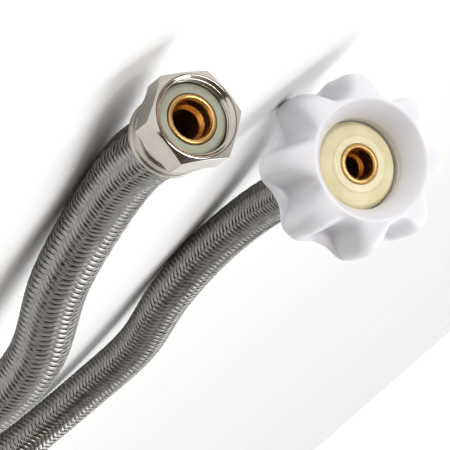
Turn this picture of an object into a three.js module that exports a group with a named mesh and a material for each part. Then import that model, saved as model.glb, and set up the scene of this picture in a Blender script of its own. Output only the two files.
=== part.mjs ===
// Braided supply line: a 20 in steel-braided hose that feeds a toilet's fill valve.
// One end has a hexagonal metal nut for a 3/8 in compression stop, the other a plastic wing nut
// for a 7/8 in ballcock shank. Both nuts turn freely on the brass inserts that hold them.
//
// Millimetres, +Z up. The line lies on the plane z = 0 in a U, with both mouths towards -Y, and
// the origin is on that plane, midway between the two fittings.
// Each fitting is drawn in its own frame: its axis is Z, its nut's mouth is at z = 0, +Z points
// out of the mouth and the hose is at negative z.
import * as THREE from 'three';

// ---- Driving dimensions -------------------------------------------------------------------
const GAP = 0.35;                  // running gap between neighbouring pieces
const HOSE_OUTER = 6.25;           // radius over the braid
const BRAID_INNER = 5.35;
const TUBE_OUTER = 5.0;
const TUBE_INNER = 3.7;
const STEM_OUTER = 3.3;            // barbed stem that the inner tube is crimped onto
const FERRULE_INNER = HOSE_OUTER + GAP;
const FERRULE_OUTER = 7.2;

// Compression fitting, 9/16-24 thread, 5/8 in across the flats
const HEX_APOTHEM = 7.95;
const HEX_THREAD = 6.6;            // radius at the thread's crests
const HEX_LIP = 4.6;               // radius of the insert's front lip and neck
const HEX_FLATS_END = 6.9;         // depth behind the mouth
const HEX_NUT_LENGTH = 9.0;
const HEX_WASHER_BACK = 4.6;
const HEX_HOSE_END = 11.1;         // depth of the hose's cut end
const HEX_FERRULE_END = 13.2;

// Ballcock fitting, 15/16-14 thread
const WING_LOBES = 8;
const WING_VALLEY = 16.2;          // radius between the lobes
const WING_CREST = 22.25;          // radius over the lobes
const WING_FLANGE = 19.3;          // radius of the disc that closes the valleys at the back
const WING_THREAD = 11.0;
const WING_LIP = 4.9;
const WING_NUT_LENGTH = 19.8;
const WING_HOSE_END = 21.9;
const WING_FERRULE_END = 34.0;

// Where each mouth is, which way it faces in plan, how far it looks up, and how far its nut is
// turned about the axis, in degrees
const HEX_END = { mouth: [42.45, -65.14, 13.4], yaw: -6, tilt: 12.2, turn: 35.2 };
const WING_END = { mouth: [-29.45, 32.26, 25.34], yaw: 0, tilt: 16, turn: 10 };

// Centre line of the hose between its two straight ends: it arches a little behind the hex end,
// comes down to the surface, turns in one wide loop and rises to the other nut.
const LYING_ROUTE = [
  [48.35, -18.84, 6.3], [57.15, 4.86, 8.5], [64.35, 28.86, 13.7], [72.25, 49.66, 13],
  [86.85, 71.56, 7.2], [100.05, 86.96, 6.3], [112.25, 106.66, 6.6], [117.45, 129.86, 6.5],
  [113.65, 152.26, 6.4], [100.95, 172.16, 6.4], [81.35, 185.26, 6.3], [59.25, 189.46, 6.3],
  [36.45, 184.56, 6.5], [18.05, 171.96, 7.6], [4.15, 152.36, 9], [-5.95, 129.56, 6.7],
  [-17.05, 110.26, 6.5], [-26.45, 87.96, 9.7],
];
const HOSE_STEPS = 50;
const SEGMENTS = 20;               // round the small turned pieces

// ---- Materials ----------------------------------------------------------------------------
const finish = (color, roughness, metalness) => ({ color, roughness, metalness });
const NICKEL = finish(0xb9b5ad, 0.25, 1);
const STEEL = finish(0x8c8a85, 0.35, 1);
const BRASS = finish(0xc8943c, 0.25, 1);
const WHITE_PLASTIC = finish(0xe9e9ef, 0.35, 0);
const GREY_RUBBER = finish(0x97957e, 0.6, 0);
const CREAM_RUBBER = finish(0xd4ccab, 0.55, 0);
const TUBE_PLASTIC = finish(0x4a4a46, 0.7, 0);

// ---- Helpers ------------------------------------------------------------------------------
const rad = THREE.MathUtils.degToRad;

function piece(name, geometry, look) {
  const mesh = new THREE.Mesh(geometry, new THREE.MeshStandardMaterial(look));
  mesh.name = name;
  return mesh;
}

// A solid of revolution about Z from a closed profile of [radius, z] points, which runs back
// along the outside and forward along the inside. reshape(radius, point, angle) may change the
// radius round the turn, where angle is 0 at -Y.
function turned(profile, segments = SEGMENTS, reshape = (radius) => radius) {
  const loop = [...profile, profile[0]].reverse();
  const outline = loop.map(([radius, z]) => new THREE.Vector2(radius, z));
  const geometry = new THREE.LatheGeometry(outline, segments);
  const position = geometry.getAttribute('position');
  for (let turn = 0; turn <= segments; turn += 1) {
    const angle = (turn % segments) / segments * 2 * Math.PI;
    loop.forEach((point, index) => {
      const radius = reshape(point[0], point, angle);
      const vertex = turn * loop.length + index;
      position.setXYZ(vertex, radius * Math.sin(angle), point[1], radius * Math.cos(angle));
    });
  }
  geometry.rotateX(Math.PI / 2);
  geometry.computeVertexNormals();
  return geometry;
}

// A group whose Z axis is the fitting's axis
function fittingFrame({ mouth, yaw, tilt }) {
  const heading = new THREE.Group();
  heading.position.set(...mouth);
  heading.rotation.z = rad(yaw);
  const axis = new THREE.Group();
  axis.rotation.x = rad(90 - tilt);
  heading.add(axis);
  return { heading, axis };
}

// The point on a fitting's axis at a depth behind its mouth
function axisPoint({ mouth, yaw, tilt }, depth) {
  const out = new THREE.Vector3(
    Math.sin(rad(yaw)) * Math.cos(rad(tilt)),
    -Math.cos(rad(yaw)) * Math.cos(rad(tilt)),
    Math.sin(rad(tilt)),
  );
  return new THREE.Vector3(...mouth).addScaledVector(out, -depth);
}

// ---- Compression fitting ------------------------------------------------------------------
function compressionNut() {
  // The third value marks the points that the hexagon's flats cut back
  const profile = [
    [7.6, 0], [9.4, -1, 'hex'], [9.4, -HEX_FLATS_END, 'hex'],
    [8.4, -HEX_FLATS_END - 0.6, 'hex'], [8.0, -HEX_FLATS_END - 1],
    [7.4, -HEX_NUT_LENGTH], [HEX_LIP + GAP, -HEX_NUT_LENGTH],
    [HEX_LIP + GAP, -6.8], [HEX_THREAD, -6.8], [HEX_THREAD, -0.4], [6.8, 0],
  ];
  const flat = (radius, point, angle) => {
    const off = THREE.MathUtils.euclideanModulo(angle + Math.PI / 6, Math.PI / 3) - Math.PI / 6;
    return point[2] === 'hex' ? Math.min(radius, HEX_APOTHEM / Math.cos(off)) : radius;
  };
  return piece('compression_nut', turned(profile, 36, flat).rotateZ(rad(HEX_END.turn)), NICKEL);
}

function compressionWasher() {
  const bore = HEX_LIP + GAP;
  const profile = [
    [5.7, -1.9], [6.2, -2.5], [6.2, -HEX_WASHER_BACK], [bore, -HEX_WASHER_BACK],
    [bore, -1.9],
  ];
  return piece('compression_cone_washer', turned(profile), GREY_RUBBER);
}

function compressionInsert() {
  const flange = -HEX_WASHER_BACK - GAP;
  const shoulder = GAP - HEX_HOSE_END;
  const stem_end = -19.5;
  const profile = [
    [HEX_LIP, -1.7], [HEX_LIP, flange], [6.1, flange], [6.1, -6.4], [HEX_LIP, -6.4],
    [HEX_LIP, shoulder], [STEM_OUTER, shoulder], [STEM_OUTER, stem_end], [2.6, stem_end],
    [2.75, -5.1], [3.5, -4.4], [3.5, -1.7],
  ];
  return piece('compression_insert', turned(profile), BRASS);
}

function compressionFerrule() {
  const front = -(HEX_NUT_LENGTH + GAP + 0.15);
  const profile = [
    [FERRULE_OUTER - 0.6, front], [FERRULE_OUTER, front - 0.6],
    [FERRULE_OUTER, -HEX_FERRULE_END + 1.2], [7.5, -HEX_FERRULE_END + 0.6],
    [7.2, -HEX_FERRULE_END], [FERRULE_INNER, -HEX_FERRULE_END],
    [FERRULE_INNER, front - 1.2], [HEX_LIP + GAP, front - 1.2], [HEX_LIP + GAP, front],
  ];
  return piece('compression_ferrule', turned(profile), NICKEL);
}

// ---- Ballcock fitting ---------------------------------------------------------------------
function ballcockNut() {
  // The third value is how far the lobes stand out beyond the round radius
  const rise = WING_CREST - WING_VALLEY;
  const bore = WING_LIP + GAP + 0.15;
  const profile = [
    [14.9, 0, 0], [15.4, -0.8, 0.9], [15.8, -2.6, 2.6], [16, -4.8, 4.1],
    [16.1, -7.2, 5.4], [WING_VALLEY, -9.6, rise], [WING_VALLEY, -14.2, rise],
    [WING_FLANGE, -15.2, WING_CREST - WING_FLANGE],
    [WING_FLANGE, -16.4, WING_CREST - WING_FLANGE - 0.3],
    [WING_FLANGE - 0.8, -17.2, 2], [9.6, -17.2, 0], [9, -WING_NUT_LENGTH, 0],
    [bore, -WING_NUT_LENGTH, 0], [bore, -14.2, 0], [WING_THREAD, -14.2, 0],
    [WING_THREAD, -6.2, 0], [11.9, -4, 0], [13.2, -1.6, 0], [14.2, 0, 0],
  ];
  const lobed = (radius, point, angle) =>
    radius + point[2] * (0.5 + 0.5 * Math.cos(WING_LOBES * angle));
  const geometry = turned(profile, WING_LOBES * 6, lobed).rotateZ(rad(WING_END.turn));
  return piece('ballcock_nut', geometry, WHITE_PLASTIC);
}

function ballcockWasher() {
  const bore = WING_LIP + GAP;
  const profile = [
    [6.8, -6.7], [10.3, -8.2], [10.3, -11.5], [bore, -11.5], [bore, -6.7],
  ];
  return piece('ballcock_cone_washer', turned(profile), CREAM_RUBBER);
}

function ballcockInsert() {
  const stem_end = -35;
  const profile = [
    [WING_LIP, -6.4], [WING_LIP, -11.85], [8.4, -11.85], [8.4, -13.8], [WING_LIP, -13.8],
    [WING_LIP, -21.5], [STEM_OUTER, -21.5], [STEM_OUTER, stem_end], [2.6, stem_end],
    [2.75, -12.4], [3.55, -11.6], [3.55, -6.4],
  ];
  return piece('ballcock_insert', turned(profile), BRASS);
}

function ballcockFerrule() {
  const front = -(WING_NUT_LENGTH + GAP + 0.15);
  const profile = [
    [FERRULE_OUTER - 0.6, front], [FERRULE_OUTER, front - 0.6],
    [FERRULE_OUTER, -WING_FERRULE_END + 1.2], [7.5, -WING_FERRULE_END + 0.6],
    [7.2, -WING_FERRULE_END], [FERRULE_INNER, -WING_FERRULE_END],
    [FERRULE_INNER, front - 1.2], [WING_LIP + GAP, front - 1.2], [WING_LIP + GAP, front],
  ];
  return piece('ballcock_ferrule', turned(profile), NICKEL);
}

// ---- Hose ---------------------------------------------------------------------------------
function hoseCentreLine() {
  return new THREE.CatmullRomCurve3([
    axisPoint(HEX_END, HEX_HOSE_END),
    axisPoint(HEX_END, 19),
    axisPoint(HEX_END, 28),
    ...LYING_ROUTE.map((point) => new THREE.Vector3(...point)),
    axisPoint(WING_END, 36),
    axisPoint(WING_END, 29),
    axisPoint(WING_END, WING_HOSE_END),
  ], false, 'centripetal');
}

// A regular polygon, from its corner radius
function polygon(Kind, sides, radius) {
  const outline = new Kind();
  for (let corner = 0; corner < sides; corner += 1) {
    const angle = corner / sides * 2 * Math.PI;
    const [x, y] = [radius * Math.cos(angle), radius * Math.sin(angle)];
    if (corner === 0) outline.moveTo(x, y);
    else outline.lineTo(x, y);
  }
  outline.closePath();
  return outline;
}

// An open-ended pipe along the centre line. The hole's flats, not its corners, are at the
// inner radius, so that what runs inside stays clear of them.
function pipe(outerRadius, innerRadius, sides) {
  const section = polygon(THREE.Shape, sides, outerRadius);
  section.holes.push(polygon(THREE.Path, 8, innerRadius / Math.cos(Math.PI / 8)));
  return new THREE.ExtrudeGeometry(section, {
    steps: HOSE_STEPS, curveSegments: 1, extrudePath: hoseCentreLine(),
  });
}

// ---- Assembly -----------------------------------------------------------------------------
const supplyLine = new THREE.Group();

const hexEnd = fittingFrame(HEX_END);
hexEnd.axis.add(compressionNut(), compressionWasher(), compressionInsert(), compressionFerrule());
supplyLine.add(hexEnd.heading);

const wingEnd = fittingFrame(WING_END);
wingEnd.axis.add(ballcockNut(), ballcockWasher(), ballcockInsert(), ballcockFerrule());
supplyLine.add(wingEnd.heading);

supplyLine.add(piece('braid', pipe(HOSE_OUTER, BRAID_INNER, 12), STEEL));
supplyLine.add(piece('inner_tube', pipe(TUBE_OUTER, TUBE_INNER, 8), TUBE_PLASTIC));

export default supplyLine;
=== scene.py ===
import math

import bpy
import numpy as np
from mathutils import Matrix


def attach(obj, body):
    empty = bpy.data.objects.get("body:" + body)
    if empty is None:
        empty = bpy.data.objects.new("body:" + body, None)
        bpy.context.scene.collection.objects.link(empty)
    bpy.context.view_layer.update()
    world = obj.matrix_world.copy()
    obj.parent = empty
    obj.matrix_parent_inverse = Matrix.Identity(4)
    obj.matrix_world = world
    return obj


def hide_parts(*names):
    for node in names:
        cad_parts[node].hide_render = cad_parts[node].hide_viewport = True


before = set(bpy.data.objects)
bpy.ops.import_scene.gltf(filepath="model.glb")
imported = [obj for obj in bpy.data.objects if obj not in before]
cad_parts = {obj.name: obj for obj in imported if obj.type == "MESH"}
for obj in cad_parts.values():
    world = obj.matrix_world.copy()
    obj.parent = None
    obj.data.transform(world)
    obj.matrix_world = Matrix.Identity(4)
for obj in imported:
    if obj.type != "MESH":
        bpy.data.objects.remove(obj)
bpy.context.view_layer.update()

MM = 0.001

# The two fittings: the centre of each nut's mouth in millimetres, then in degrees where its
# axis points and how far the nut is turned about it.
HEX_END = {"mouth": (42.45, -65.14, 13.4), "yaw": -6.0, "tilt": 12.2, "turn": 35.2}
WING_END = {"mouth": (-29.45, 32.26, 25.34), "yaw": 0.0, "tilt": 16.0, "turn": 10.0}

# The hose's centre line, from the hex end to the lobed end: depths behind the mouth of its
# straight part in each fitting, and the points it passes in between.
HEX_HOSE_DEPTHS = (11.1, 19.0, 28.0)
WING_HOSE_DEPTHS = (36.0, 29.0, 21.9)
LYING_ROUTE = (
    (48.4, -18.8, 6.3), (57.1, 4.9, 8.5), (64.3, 28.9, 13.7), (72.2, 49.7, 13.0),
    (86.8, 71.6, 7.2), (100.0, 87.0, 6.3), (112.2, 106.7, 6.6), (117.4, 129.9, 6.5),
    (113.6, 152.3, 6.4), (100.9, 172.2, 6.4), (81.3, 185.3, 6.3), (59.2, 189.5, 6.3),
    (36.5, 184.6, 6.5), (18.1, 172.0, 7.6), (4.1, 152.4, 9.0), (-6.0, 129.6, 6.7),
    (-17.0, 110.3, 6.5), (-26.4, 88.0, 9.7),
)
POINTS_PER_SPAN = 40     # of the centre line, from one of these points to the next


# ---------------------------------------------------------------- camera
CAMERA_PLACE = (0.16981, -0.33773, 0.07368)      # metres
CAMERA_HEADING = 23.37   # degrees, turned left from looking along +Y
CAMERA_DROP = 8.13       # degrees below level
CAMERA_ROLL = 138.43     # degrees
CAMERA_LENS = 143.8      # millimetres


def make_camera():
    data = bpy.data.cameras.new("camera")
    data.lens = CAMERA_LENS
    data.sensor_width = 36.0
    data.clip_start = 0.01
    data.clip_end = 50.0
    camera = bpy.data.objects.new("camera", data)
    bpy.context.scene.collection.objects.link(camera)
    turn = (
        Matrix.Rotation(math.radians(CAMERA_HEADING), 4, "Z")
        @ Matrix.Rotation(math.radians(90 - CAMERA_DROP), 4, "X")
        @ Matrix.Rotation(math.radians(CAMERA_ROLL), 4, "Z")
    )
    camera.matrix_world = Matrix.Translation(CAMERA_PLACE) @ turn
    bpy.context.scene.camera = camera


# ---------------------------------------------------------------- frames and meshes
def axes_of(end):
    """A fitting's own axes as rows: across, up and out of the mouth."""
    yaw, tilt = math.radians(end["yaw"]), math.radians(end["tilt"])
    sy, cy, st, ct = math.sin(yaw), math.cos(yaw), math.sin(tilt), math.cos(tilt)
    return np.array([(cy, sy, 0), (-sy * st, cy * st, ct), (sy * ct, -cy * ct, st)])


def matrix_of(end):
    """The 4x4 that takes a fitting's own metres to the row frame."""
    made = Matrix.Identity(4)
    for column, axis in enumerate(axes_of(end)):
        for row in range(3):
            made[row][column] = axis[row]
    for row in range(3):
        made[row][3] = end["mouth"][row] * MM
    return made


def behind(end, depth):
    """The point on a fitting's axis that far behind its mouth."""
    return np.array(end["mouth"]) - axes_of(end)[2] * depth


def grid_faces(rows, cols, close_rows, close_cols, first=0):
    """Quads over a grid of rows by cols vertices, numbered from first."""
    i = np.arange(rows if close_rows else rows - 1)
    j = np.arange(cols if close_cols else cols - 1)
    a, b = np.meshgrid(i, j, indexing="ij")
    c, d = (a + 1) % rows, (b + 1) % cols
    quads = np.stack([a * cols + b, c * cols + b, c * cols + d, a * cols + d], -1)
    return quads.reshape(-1, 4) + first


def mesh_object(name, points, quads, place=None):
    """An object of quads. points are in millimetres, in the frame that place gives."""
    data = bpy.data.meshes.new(name)
    data.vertices.add(len(points))
    data.vertices.foreach_set("co", (np.asarray(points) * MM).astype(np.float32).ravel())
    data.loops.add(len(quads) * 4)
    data.loops.foreach_set("vertex_index", quads.astype(np.int32).ravel())
    data.polygons.add(len(quads))
    starts = np.arange(0, len(quads) * 4, 4, dtype=np.int32)
    data.polygons.foreach_set("loop_start", starts)
    data.polygons.foreach_set("use_smooth", np.ones(len(quads), bool))
    data.update(calc_edges=True)
    data.validate()
    made = bpy.data.objects.new(name, data)
    bpy.context.scene.collection.objects.link(made)
    if place is not None:
        made.matrix_world = place
    return made


def outward(points, quads):
    """The same quads, turned over if they enclose a negative volume."""
    p = np.asarray(points)
    a, b, c, d = (p[quads[:, k]] for k in range(4))
    volume = np.einsum("ij,ij->i", a, np.cross(b, c)) + np.einsum("ij,ij->i", a, np.cross(c, d))
    return quads if volume.sum() > 0 else quads[:, ::-1]


def ring_solid(name, radii, heights, end, angles):
    """A closed ring-shaped piece: radii and heights are rows by angles."""
    x = radii * np.sin(angles)
    y = -radii * np.cos(angles)
    points = np.stack([x, y, heights], -1).reshape(-1, 3)
    quads = outward(points, grid_faces(*radii.shape, True, True))
    return mesh_object(name, points, quads, matrix_of(end))


CORNER_STEPS = 4                     # along the curve that rounds a corner
ROWS_PER_CORNER = CORNER_STEPS + 3   # the curve's own rows and one past each of its ends
LONGEST_CUT = 0.4                    # a curve takes no more than this part of a side
GUARD_GAP = 0.3                      # how far past a curve the next row is, in cuts


def rounded(profile, size=0.2):
    """A closed profile of (r, z) or (r, z, size) corners with every corner rounded.
    A row past each end of a curve keeps the flat faces beside it flat in the shading."""
    made = []
    count = len(profile)
    for k in range(count):
        here = np.array(profile[k][:2], float)
        before = np.array(profile[k - 1][:2], float)
        after = np.array(profile[(k + 1) % count][:2], float)
        own = profile[k][2] if len(profile[k]) > 2 else size
        to, fro = before - here, after - here
        cut = min(own, LONGEST_CUT * np.linalg.norm(to), LONGEST_CUT * np.linalg.norm(fro))
        start = here + to / np.linalg.norm(to) * cut
        stop = here + fro / np.linalg.norm(fro) * cut
        made.append(start + (start - here) * GUARD_GAP)
        for t in np.linspace(0, 1, CORNER_STEPS + 1):
            made.append(start * (1 - t) ** 2 + here * 2 * t * (1 - t) + stop * t * t)
        made.append(stop + (stop - here) * GUARD_GAP)
    return np.array(made)


def lathe(name, profile, end, size=0.2, around=128):
    """A turned piece from a closed profile of (r, z) corners."""
    line = rounded(profile, size)
    angles = np.linspace(0, 2 * math.pi, around, endpoint=False)
    radii = np.repeat(line[:, :1], around, 1)
    heights = np.repeat(line[:, 1:2], around, 1)
    return ring_solid(name, radii, heights, end, angles)


def spline(points, per_span):
    """The centripetal Catmull-Rom curve through the points."""
    p = np.asarray(points, float)
    ends = [2 * p[0] - p[1]], [2 * p[-1] - p[-2]]
    q = np.vstack([ends[0], p, ends[1]])
    made = []
    for k in range(1, len(q) - 2):
        gap = [max(np.linalg.norm(q[k + n] - q[k + n - 1]) ** 0.5, 1e-4) for n in (0, 1, 2)]
        m0 = (q[k] - q[k - 1]) / gap[0] - (q[k + 1] - q[k - 1]) / (gap[0] + gap[1])
        m0 = (m0 + (q[k + 1] - q[k]) / gap[1]) * gap[1]
        m1 = (q[k + 1] - q[k]) / gap[1] - (q[k + 2] - q[k]) / (gap[1] + gap[2])
        m1 = (m1 + (q[k + 2] - q[k + 1]) / gap[2]) * gap[1]
        t = np.linspace(0, 1, per_span, endpoint=False)[:, None]
        a = 2 * q[k] - 2 * q[k + 1] + m0 + m1
        b = -3 * q[k] + 3 * q[k + 1] - 2 * m0 - m1
        made.append(a * t**3 + b * t**2 + m0 * t + q[k])
    made.append(p[-1:])
    return np.vstack(made)


class Line:
    """The hose's centre line with frames that don't twist, by distance along it."""

    def __init__(self, points):
        self.points = points
        steps = np.linalg.norm(np.diff(points, axis=0), axis=1)
        self.along = np.concatenate([[0], np.cumsum(steps)])
        self.length = self.along[-1]
        tangents = np.gradient(points, self.along, axis=0)
        tangents /= np.linalg.norm(tangents, axis=1)[:, None]
        side = np.cross(tangents[0], (0, 0, 1))
        side /= np.linalg.norm(side)
        sides = [side]
        for k in range(1, len(points)):
            side = sides[-1] - np.dot(sides[-1], tangents[k]) * tangents[k]
            sides.append(side / np.linalg.norm(side))
        self.sides = np.array(sides)
        self.ups = np.cross(self.sides, tangents)

    def at(self, s, angle, radius):
        """Points at that distance along, angle round and radius out, all arrays alike."""
        s = np.clip(s, 0, self.length)
        read = [
            np.stack([np.interp(s, self.along, v[:, k]) for k in range(3)], -1)
            for v in (self.points, self.sides, self.ups)
        ]
        across = read[1] * np.cos(angle)[..., None] + read[2] * np.sin(angle)[..., None]
        across /= np.linalg.norm(across, axis=-1)[..., None]
        return read[0] + across * radius[..., None]


# ---------------------------------------------------------------- materials
NOISE_LOW, NOISE_HIGH = 0.3, 0.7     # a noise keeps mostly between these


def new_material(name):
    made = bpy.data.materials.new(name)
    made.use_nodes = True
    nodes, links = made.node_tree.nodes, made.node_tree.links
    nodes.clear()
    out = nodes.new("ShaderNodeOutputMaterial")
    shader = nodes.new("ShaderNodeBsdfPrincipled")
    links.new(shader.outputs["BSDF"], out.inputs["Surface"])
    return made, nodes, links, shader


def noise_of(nodes, links, scale, detail=3.0, rough=0.55, stretch=None):
    """A noise over the piece's own metres, stretched along its axes if asked."""
    place = nodes.new("ShaderNodeTexCoord")
    made = nodes.new("ShaderNodeTexNoise")
    made.inputs["Scale"].default_value = scale
    made.inputs["Detail"].default_value = detail
    made.inputs["Roughness"].default_value = rough
    source = place.outputs["Object"]
    if stretch is not None:
        mapping = nodes.new("ShaderNodeMapping")
        mapping.inputs["Scale"].default_value = stretch
        links.new(source, mapping.inputs["Vector"])
        source = mapping.outputs["Vector"]
    links.new(source, made.inputs["Vector"])
    return made.outputs["Fac"]


def ramp(nodes, links, source, low, high, first, second):
    """A colour that goes from first to second as source goes from low to high."""
    made = nodes.new("ShaderNodeValToRGB")
    made.color_ramp.elements[0].position = low
    made.color_ramp.elements[0].color = (*first, 1)
    made.color_ramp.elements[1].position = high
    made.color_ramp.elements[1].color = (*second, 1)
    links.new(source, made.inputs["Fac"])
    return made.outputs["Color"]


def spread(nodes, links, source, low, high):
    """A value that goes from low to high with a noise."""
    made = nodes.new("ShaderNodeMapRange")
    made.inputs["From Min"].default_value = NOISE_LOW
    made.inputs["From Max"].default_value = NOISE_HIGH
    made.inputs["To Min"].default_value = low
    made.inputs["To Max"].default_value = high
    links.new(source, made.inputs["Value"])
    return made.outputs["Result"]


def bump(nodes, links, shader, source, distance, strength=0.5):
    made = nodes.new("ShaderNodeBump")
    made.inputs["Distance"].default_value = distance
    made.inputs["Strength"].default_value = strength
    links.new(source, made.inputs["Height"])
    links.new(made.outputs["Normal"], shader.inputs["Normal"])


def mottled(name, colours, rough, patch, edges, metal):
    """A material of two mottled colours and a range of roughness. patch is the mottling's
    scale and edges are the two noise levels where it is wholly one colour or the other."""
    made, nodes, links, shader = new_material(name)
    shader.inputs["Metallic"].default_value = metal
    mottle = noise_of(nodes, links, patch)
    links.new(ramp(nodes, links, mottle, *edges, *colours), shader.inputs["Base Color"])
    links.new(spread(nodes, links, mottle, *rough), shader.inputs["Roughness"])
    return made, nodes, links, shader


def finish(name, first, second, rough, patch, metal=0.0, grain=None, extra=None):
    """A mottled finish, with a fine grain in relief: (scale, height in metres)."""
    made, nodes, links, shader = mottled(
        name, (first, second), rough, patch, (0.32, 0.68), metal)
    if grain:
        scale, height = grain
        bump(nodes, links, shader, noise_of(nodes, links, scale, 2.0, 0.5), height)
    for socket, value in (extra or {}).items():
        shader.inputs[socket].default_value = value
    return made


def turned_finish(name, first, second, rough, pitch, height):
    """Turned metal: fine rings round the piece's own axis, left by the cutting tool."""
    made, nodes, links, shader = mottled(
        name, (first, second), rough, 260.0, (NOISE_LOW, NOISE_HIGH), 1.0)
    rings = noise_of(nodes, links, 1.0, 2.0, 0.5, (120.0, 120.0, 1.0 / pitch))
    bump(nodes, links, shader, rings, height)
    return made


def make_materials():
    return {
        "nickel": turned_finish(
            "nickel", (0.47, 0.44, 0.40), (0.57, 0.54, 0.49), (0.09, 0.17), 0.0006, 0.00001),
        "ferrule": turned_finish(
            "ferrule", (0.44, 0.41, 0.37), (0.54, 0.51, 0.46), (0.30, 0.42), 0.0004, 0.00002),
        "brass": turned_finish(
            "brass", (0.60, 0.36, 0.12), (0.72, 0.46, 0.18), (0.20, 0.32), 0.0004, 0.00002),
        "white": finish(
            "white_plastic", (0.72, 0.72, 0.76), (0.76, 0.76, 0.80), (0.30, 0.40), 120.0,
            grain=(2600.0, 0.00001),
            extra={"Subsurface Weight": 0.25, "Subsurface Scale": 0.004,
                   "Subsurface Radius": (1.0, 0.85, 0.7)}),
        "cream": finish(
            "cream_rubber", (0.72, 0.64, 0.38), (0.82, 0.76, 0.53), (0.42, 0.58), 160.0,
            grain=(1800.0, 0.00002),
            extra={"Subsurface Weight": 0.2, "Subsurface Scale": 0.002,
                   "Subsurface Radius": (1.0, 0.8, 0.5)}),
        "grey": finish(
            "grey_rubber", (0.29, 0.29, 0.225), (0.36, 0.36, 0.28), (0.55, 0.70), 200.0,
            grain=(2200.0, 0.00003)),
        "braid": finish(
            "steel_wire", (0.26, 0.252, 0.238), (0.39, 0.38, 0.358), (0.24, 0.36), 500.0, metal=1.0),
        # The tube is near-black: partly its own dark colour, partly painted shade that darkens the
        # gaps between the braid's bundles.
        "tube": finish(
            "tube", (0.030, 0.030, 0.028), (0.055, 0.055, 0.050), (0.5, 0.7), 300.0,
            grain=(1500.0, 0.00004)),
    }


def dress(obj, material, body, slot, *nodes):
    """Gives a piece its finish, the body that it rides on and the nodes that it stands for."""
    obj.data.materials.append(material)
    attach(obj, body)
    if nodes:
        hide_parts(*nodes)
    return obj


# ---------------------------------------------------------------- the hose
# Lengths and radii from here to the lobed end are in millimetres.
CARRIERS = 12            # bundles each way round
LAY = 18.5               # how far along one turn of a bundle goes
WIRES = 5                # in a bundle
BUNDLE_WIDTH = 1.22
BRAID_MIDDLE = 5.86      # radius where the two sets of bundles cross
WEAVE_HEIGHT = 0.22      # how far a bundle rises over and dips under
WIRE_CROWN = 0.05        # how far each wire stands out of its bundle's face
BUNDLE_CROWN = 0.09      # how far a bundle's middle stands out past its edges
EDGE_DROP = 0.04         # how far a bundle's two edges turn down
EDGE_TUCK = 0.15         # how far they are drawn in, in wires
WAVE_FLATNESS = 0.6      # how long a bundle stays up or down before it crosses over
ROWS_PER_TURN = 28       # along a bundle, while it goes once round the hose
TUBE_OUTER = 5.42        # radius of the tube, just inside the braid
TUBE_BORE = 3.7          # radius of its bore
TUBE_ROUND, TUBE_RINGS = 40, 420


def smooth_wave(phase):
    """A wave of period 4 with flattened tops, up from -0.5 to 1.5."""
    c = np.cos(2 * math.pi * (phase - 0.5) / 4)
    return np.clip(c * (1 + WAVE_FLATNESS - WAVE_FLATNESS * c * c), -1, 1)


def bundle_section():
    """Across one bundle: places from edge to edge, and how far each stands out."""
    x = np.linspace(-BUNDLE_WIDTH / 2, BUNDLE_WIDTH / 2, 2 * WIRES + 1)
    crown = np.where(np.arange(len(x)) % 2 == 1, WIRE_CROWN, 0.0)
    tuck = EDGE_TUCK * BUNDLE_WIDTH / WIRES
    x[0] += tuck
    x[-1] -= tuck
    crown += BUNDLE_CROWN * (1 - (2 * x / BUNDLE_WIDTH) ** 2)
    crown[0] = crown[-1] = -EDGE_DROP
    return x, crown


def braid_half(name, line, sense):
    """All the bundles that wind one way round, over two and under two of the other way's.
    sense is +1 or -1."""
    slope = 2 * math.pi / LAY
    part = 2 * math.pi / CARRIERS
    steep = math.atan(slope * BRAID_MIDDLE)
    count = int(line.length / LAY * ROWS_PER_TURN)
    s0 = np.linspace(0, line.length, count)
    x, crown = bundle_section()
    s = s0[:, None] - sense * math.sin(steep) * x[None, :]
    points, quads = [], []
    for k in range(CARRIERS):
        middle = part * k + sense * slope * s0
        angle = middle[:, None] + math.cos(steep) * x[None, :] / BRAID_MIDDLE
        phase = (angle + sense * slope * s) / part + k
        height = sense * WEAVE_HEIGHT * smooth_wave(phase) + crown[None, :]
        rows = line.at(s, angle, BRAID_MIDDLE + height)
        quads.append(grid_faces(*rows.shape[:2], False, True, k * rows.shape[0] * rows.shape[1]))
        points.append(rows.reshape(-1, 3))
    quads = np.vstack(quads)
    return mesh_object(name, np.vstack(points), quads if sense < 0 else quads[:, ::-1])


def hose_tube(line):
    """The polymer tube inside the braid, open at both ends of its bore."""
    around = np.linspace(0, 2 * math.pi, TUBE_ROUND, endpoint=False)
    s = np.linspace(0, line.length, TUBE_RINGS)
    wall = []
    for radius, stretch in ((TUBE_OUTER, s), (TUBE_BORE, s[::-1])):
        grid_s, grid_a = np.meshgrid(stretch, around, indexing="ij")
        wall.append(line.at(grid_s, grid_a, np.full_like(grid_s, radius)))
    rows = np.vstack(wall)
    points = rows.reshape(-1, 3)
    return mesh_object(
        "inner_tube_wall", points, outward(points, grid_faces(*rows.shape[:2], True, True)))


def make_hose(finishes):
    route = [behind(HEX_END, d) for d in HEX_HOSE_DEPTHS]
    route += list(LYING_ROUTE) + [behind(WING_END, d) for d in WING_HOSE_DEPTHS]
    line = Line(spline(route, POINTS_PER_SPAN))
    over = braid_half("braid_clockwise", line, 1)
    under = braid_half("braid_counterclockwise", line, -1)
    tube = hose_tube(line)
    dress(over, finishes["braid"], "hose", "steel_braid", "braid")
    dress(under, finishes["braid"], "hose", "steel_braid")
    dress(tube, finishes["tube"], "hose", "tube_lining", "inner_tube")


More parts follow.
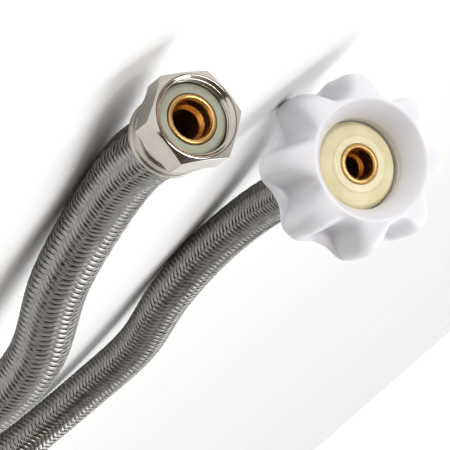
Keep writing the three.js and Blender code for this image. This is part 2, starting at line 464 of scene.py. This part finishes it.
# ---------------------------------------------------------------- the hex end
HEX_APOTHEM = 7.95
HEX_CORNER = 0.35        # radius of the hexagon's six long edges
HEX_FRONT_LAND = 7.62    # radius where the front chamfer starts
HEX_CHAMFER = 30         # degrees
HEX_BACK = (8.3, -6.2)   # radius and height of the flats' back edge
HEX_BACK_SLOPE = -0.25   # how its height changes with the radius
HEX_PITCH = 1.058        # 24 threads to the inch
STEPS_PER_FLAT = 28
CORNER_GATHER = 1.6      # how closely the steps gather at the hexagon's corners
LONGEST_STEP = 0.45      # no move towards the next row takes more than this part of the gap
ROW_GUARD = 1.35         # how far out the row past a curve is, in sizes


def hex_radius(angles):
    """The hexagon's radius at each angle, with its corners slightly rounded."""
    off = np.abs((angles + math.pi / 6) % (math.pi / 3) - math.pi / 6)
    inner = (HEX_APOTHEM - HEX_CORNER) / math.cos(math.pi / 6)
    bend = math.atan((HEX_APOTHEM - HEX_CORNER) * math.tan(math.pi / 6) / HEX_APOTHEM)
    turn = math.pi / 6 - off
    round_part = inner * np.cos(turn) + np.sqrt(
        np.maximum(HEX_CORNER**2 - (inner * np.sin(turn)) ** 2, 0))
    return np.where(off < bend, HEX_APOTHEM / np.cos(off), round_part)


def hex_angles():
    """Angles round the hexagon, closer together at its corners."""
    t = np.linspace(-1, 1, STEPS_PER_FLAT, endpoint=False)
    spread_out = np.sign(t) * (1 - (1 - np.abs(t)) ** CORNER_GATHER)
    return np.concatenate([(spread_out + 2 * k) * math.pi / 6 for k in range(6)])


def fillet_rows(before, corner, after):
    """Rows that round the corner between two rows; each is (radii, heights)."""
    made = []
    for t in np.linspace(0, 1, CORNER_STEPS + 1):
        made.append(tuple(
            a * (1 - t) ** 2 + b * 2 * t * (1 - t) + c * t * t
            for a, b, c in zip(before, corner, after)))
    return made


def toward(a, b, distance):
    """The row that distance from a towards b."""
    gap = np.hypot(b[0] - a[0], b[1] - a[1])
    part = np.minimum(distance / np.maximum(gap, 1e-6), LONGEST_STEP)
    return tuple(p + (q - p) * part for p, q in zip(a, b))


def softened(rows):
    """Rounds a closed loop of (radii, heights, size) rows; a size of 0 leaves its row alone."""
    made = []
    for k, (*here, size) in enumerate(rows):
        if size == 0:
            made.append(here)
            continue
        before, after = rows[k - 1][:2], rows[(k + 1) % len(rows)][:2]
        made.append(toward(here, before, size * ROW_GUARD))
        made += fillet_rows(toward(here, before, size), here, toward(here, after, size))
        made.append(toward(here, after, size * ROW_GUARD))
    return made


# An inside thread's wave is 0 on a crest and 1 in a root.
THREAD_STEEPNESS = 1.25
THREAD_CREST_FLAT = 0.12
THREAD_FADE_IN, THREAD_FADE_OUT = 0.5, 0.3       # at its two ends, in pitches


def thread_rows(angles, start, stop, crest, depth, pitch, per_pitch=9):
    """Rows of an inside thread from start down to stop. It winds left-handed, where a real
    nut's thread is right-handed."""
    made = []
    for z in np.arange(start, stop, -pitch / per_pitch):
        turn = z / pitch + angles / (2 * math.pi)
        wave = 2 * np.abs(turn - np.floor(turn + 0.5))
        wave = np.clip(wave * THREAD_STEEPNESS - THREAD_CREST_FLAT, 0, 1)
        fade = min(1.0, (start - z) / (THREAD_FADE_IN * pitch),
                   (z - stop) / (THREAD_FADE_OUT * pitch))
        made.append((crest + depth * wave * max(fade, 0), z, 0))
    return made


def make_hex_nut():
    angles = hex_angles()
    same = np.ones_like(angles)

    def ring(radius, height, size):
        return radius * same, height * same, size

    side = hex_radius(angles)
    front = -(side - HEX_FRONT_LAND) * math.tan(math.radians(HEX_CHAMFER))
    back = HEX_BACK[1] + (side - HEX_BACK[0]) * HEX_BACK_SLOPE
    # From the mouth, over the flats and the rounded shoulder, to the seat inside.
    outer = [
        ring(7.30, 0, 0.08), ring(HEX_FRONT_LAND, -0.02, 0.08),
        (side, front, 0.12), (side, back, 0.3),
        ring(8.1, -6.9, 0.3), ring(7.75, -7.5, 0.4),
        ring(6.9, -8.0, 0.3), ring(6.8, -9.0, 0.1),
        ring(4.95, -9.0, 0.15), ring(4.95, -6.9, 0.1),
        ring(7.1, -6.9, 0.1),
    ]
    thread = thread_rows(
        angles, start=-0.6, stop=-6.5, crest=6.66, depth=0.45, pitch=HEX_PITCH)
    rows = softened(outer + [ring(*row) for row in thread[::-1]] + [ring(6.85, -0.5, 0.1)])
    radii = np.array([radius for radius, _ in rows])
    heights = np.array([height for _, height in rows])
    turned = angles + math.radians(HEX_END["turn"])
    return ring_solid("hex_nut", radii, heights, HEX_END, turned)


def make_hex_end(finishes):
    nut = make_hex_nut()
    dress(nut, finishes["nickel"], "compression_nut", "nickel_plate", "compression_nut")
    washer = lathe("hex_cone_washer", [
        (4.70, -1.95, 0.1), (5.85, -1.95, 0.3), (6.60, -2.3, 0.2), (6.60, -4.7, 0.3),
        (4.95, -4.7, 0.2)], HEX_END)
    dress(washer, finishes["grey"], "hose", "grey_rubber", "compression_cone_washer")
    insert = lathe("hex_brass_insert", [
        (3.50, -2.25, 0.15), (3.85, -1.70, 0.12), (4.3, -1.66, 0.15), (4.6, -1.95, 0.1),
        (4.62, -4.95, 0.1), (6.1, -4.95), (6.1, -6.4), (4.6, -6.4), (4.6, -10.7), (3.3, -10.7),
        (3.3, -12.0, 0.05), (3.62, -13.6, 0.05), (3.3, -13.7, 0.05), (3.62, -15.4, 0.05),
        (3.3, -15.5, 0.05), (3.55, -17.4, 0.05), (3.1, -19.5), (2.6, -19.5, 0.1),
        (2.66, -5.2, 0.3), (3.42, -4.3, 0.2)], HEX_END, 0.12)
    dress(insert, finishes["brass"], "hose", "brass", "compression_insert")
    ferrule = lathe("hex_ferrule", [
        (4.95, -9.5), (6.8, -9.4, 0.2), (7.3, -9.7, 0.3), (7.3, -11.2, 0.2),
        (7.15, -11.4, 0.12), (7.15, -11.6, 0.12), (7.5, -11.8, 0.4), (7.5, -12.9, 0.45),
        (6.9, -13.2, 0.2), (6.5, -13.0, 0.15), (6.6, -10.8, 0.2), (4.95, -10.8, 0.2)],
        HEX_END, 0.15)
    dress(ferrule, finishes["ferrule"], "hose", "ferrule_steel", "compression_ferrule")


# ---------------------------------------------------------------- the lobed end
LOBES = 8
STEPS_PER_LOBE = 26
LOBE_FLATNESS = 0.35     # how broad the lobes' tops and the valleys between them are
LOBED_PITCH = 1.81       # 14 threads to the inch


def make_wing_nut():
    angles = np.linspace(0, 2 * math.pi, LOBES * STEPS_PER_LOBE, endpoint=False)
    ripple = np.cos(LOBES * angles)
    lobe = 0.5 + 0.5 * ripple * (1 + LOBE_FLATNESS - LOBE_FLATNESS * ripple**2)

    def ring(radius, height, rise=0.0):
        return radius + rise * lobe, height + 0 * lobe

    # Each row is the radius in a valley, the height, and how far a lobe rises.
    outside = np.array([
        (14.45, -0.12, 0.0), (14.75, 0.0, 0.0), (15.05, -0.1, 0.1), (15.3, -0.5, 1.0),
        (15.55, -1.2, 2.4), (15.85, -2.5, 3.9), (16.05, -4.5, 5.1), (16.15, -7.0, 5.85),
        (16.2, -9.6, 6.05), (16.2, -12.0, 6.05), (16.25, -13.4, 6.05), (16.7, -14.5, 5.55),
        (18.6, -15.05, 3.65), (19.25, -15.5, 2.95), (19.3, -16.3, 2.65), (18.9, -17.0, 2.3),
        (17.6, -17.3, 1.2),
    ])
    # The first and the last of these corners only give the directions, and are cut off.
    back = rounded([(17.0, -17.3), (9.9, -17.3, 0.8), (9.1, -19.8, 0.5), (5.4, -19.8, 0.2),
                    (5.4, -14.2, 0.2), (11.6, -14.2, 0.3)], 0.3)[ROWS_PER_CORNER:-ROWS_PER_CORNER]
    thread = thread_rows(
        angles, start=-6.6, stop=-13.8, crest=11.05, depth=0.3, pitch=LOBED_PITCH, per_pitch=10)
    bowl = spline([(11.0, -6.6), (11.3, -5.4), (12.0, -3.8), (13.0, -2.1), (14.1, -0.55)], 4)
    rows = [ring(*row) for row in spline(outside, 5)] + [ring(*row) for row in back]
    rows += [ring(radius, height) for radius, height, _ in thread[::-1]]
    rows += [ring(*row) for row in bowl]
    radii = np.array([radius for radius, _ in rows])
    heights = np.array([height for _, height in rows])
    turned = angles + math.radians(WING_END["turn"])
    return ring_solid("lobed_nut", radii, heights, WING_END, turned)


def make_wing_end(finishes):
    nut = make_wing_nut()
    dress(nut, finishes["white"], "ballcock_nut", "white_plastic", "ballcock_nut")
    washer = lathe("lobed_cone_washer", [
        (5.0, -6.75, 0.1), (6.7, -6.65, 0.45), (7.15, -7.05, 0.4), (9.8, -8.2, 0.4),
        (10.92, -9.9, 0.2), (10.92, -11.5, 0.2), (5.25, -11.5, 0.2)], WING_END, around=160)
    dress(washer, finishes["cream"], "hose", "cream_rubber", "ballcock_cone_washer")
    insert = lathe("lobed_brass_insert", [
        (3.6, -6.85, 0.12), (3.95, -6.3, 0.12), (4.6, -6.3, 0.2), (4.92, -6.7, 0.12),
        (4.92, -11.85, 0.1), (8.4, -11.85), (8.4, -13.8), (4.9, -13.8), (4.9, -21.5),
        (3.3, -21.5), (3.3, -24.0, 0.05), (3.62, -26.0, 0.05), (3.3, -26.1, 0.05),
        (3.62, -28.1, 0.05), (3.3, -28.2, 0.05), (3.6, -30.4, 0.05), (3.3, -30.5, 0.05),
        (3.55, -32.6, 0.05), (3.1, -35.0), (2.6, -35.0, 0.1), (2.72, -12.4, 0.2),
        (3.5, -11.5, 0.12)], WING_END, 0.12)
    dress(insert, finishes["brass"], "hose", "brass", "ballcock_insert")
    ferrule = lathe("lobed_ferrule", [
        (5.25, -20.3), (6.7, -20.3, 0.2), (7.2, -20.8, 0.35), (7.2, -24.6, 0.3),
        (6.95, -25.1, 0.3), (6.95, -30.0, 0.3), (7.18, -30.5, 0.25), (7.18, -32.0, 0.2),
        (7.02, -32.25, 0.12), (7.02, -32.45, 0.12), (7.5, -32.7, 0.35), (7.5, -33.8, 0.4),
        (6.9, -34.0, 0.2), (6.55, -33.8, 0.15), (6.6, -21.6, 0.2), (5.25, -21.6, 0.2)],
        WING_END, 0.15)
    dress(ferrule, finishes["ferrule"], "hose", "ferrule_steel", "ballcock_ferrule")


# ---------------------------------------------------------------- floor and light
FLOOR_REACH = 4000.0     # millimetres from the middle to each side
TOWARD_WHITE = (-0.50, 0.75, 0.25)               # the studio's bright side
DIM_LEVEL, WHITE_LEVEL = -0.45, 0.75             # along that, where the room is dim or white
DIM_BROWN = (0.10, 0.075, 0.055)
STUDIO_STRENGTH = 1.08


def make_floor():
    far = FLOOR_REACH
    points = [(-far, -far, 0), (far, -far, 0), (far, far, 0), (-far, far, 0)]
    floor = mesh_object("floor", points, np.array([[0, 1, 2, 3]]))
    made, nodes, links, shader = new_material("floor")
    pale = noise_of(nodes, links, 3.0)
    greys = (0.86, 0.86, 0.86), (0.90, 0.90, 0.90)
    links.new(ramp(nodes, links, pale, NOISE_LOW, NOISE_HIGH, *greys), shader.inputs["Base Color"])
    shader.inputs["Roughness"].default_value = 0.9
    floor.data.materials.append(made)


def area_light(name, place, aim, size, power):
    """A rectangle of light, in metres and watts, that faces aim."""
    data = bpy.data.lights.new(name, "AREA")
    data.shape = "RECTANGLE"
    data.size, data.size_y = size
    data.energy = power
    made = bpy.data.objects.new(name, data)
    bpy.context.scene.collection.objects.link(made)
    from_point = np.array(place, float)
    back = from_point - np.array(aim, float)
    back /= np.linalg.norm(back)
    across = np.cross((0, 0, 1), back)
    across /= np.linalg.norm(across)
    up = np.cross(back, across)
    turn = Matrix((across, up, back)).transposed().to_4x4()
    made.matrix_world = Matrix.Translation(place) @ turn


def overhead_light():
    """An even, soft light from nearly straight above."""
    data = bpy.data.lights.new("overhead", "SUN")
    data.energy = 1.25
    data.angle = math.radians(40)
    made = bpy.data.objects.new("overhead", data)
    made.rotation_euler = (math.radians(-16), math.radians(-8), 0)
    bpy.context.scene.collection.objects.link(made)


def make_light():
    """A white studio behind and to the left, a dim brown room to the right and in front."""
    world = bpy.data.worlds.new("studio")
    bpy.context.scene.world = world
    world.use_nodes = True
    nodes, links = world.node_tree.nodes, world.node_tree.links
    toward_white = nodes.new("ShaderNodeVectorMath")
    toward_white.operation = "DOT_PRODUCT"
    toward_white.inputs[1].default_value = TOWARD_WHITE
    links.new(nodes.new("ShaderNodeTexCoord").outputs["Generated"], toward_white.inputs[0])
    level = nodes.new("ShaderNodeMapRange")
    level.inputs["From Min"].default_value = DIM_LEVEL
    level.inputs["From Max"].default_value = WHITE_LEVEL
    links.new(toward_white.outputs["Value"], level.inputs["Value"])
    walls = ramp(nodes, links, level.outputs["Result"], 0, 1, DIM_BROWN, (1, 1, 1))
    links.new(walls, nodes["Background"].inputs["Color"])
    nodes["Background"].inputs["Strength"].default_value = STUDIO_STRENGTH
    area_light(
        "key", place=(-0.15, -0.85, 0.45), aim=(0, 0, 0.02), size=(0.40, 0.45), power=6.0)
    overhead_light()
    bpy.context.scene.view_settings.view_transform = "Standard"


def main():
    make_camera()
    finishes = make_materials()
    make_hose(finishes)
    make_hex_end(finishes)
    make_wing_end(finishes)
    make_floor()
    make_light()


main()
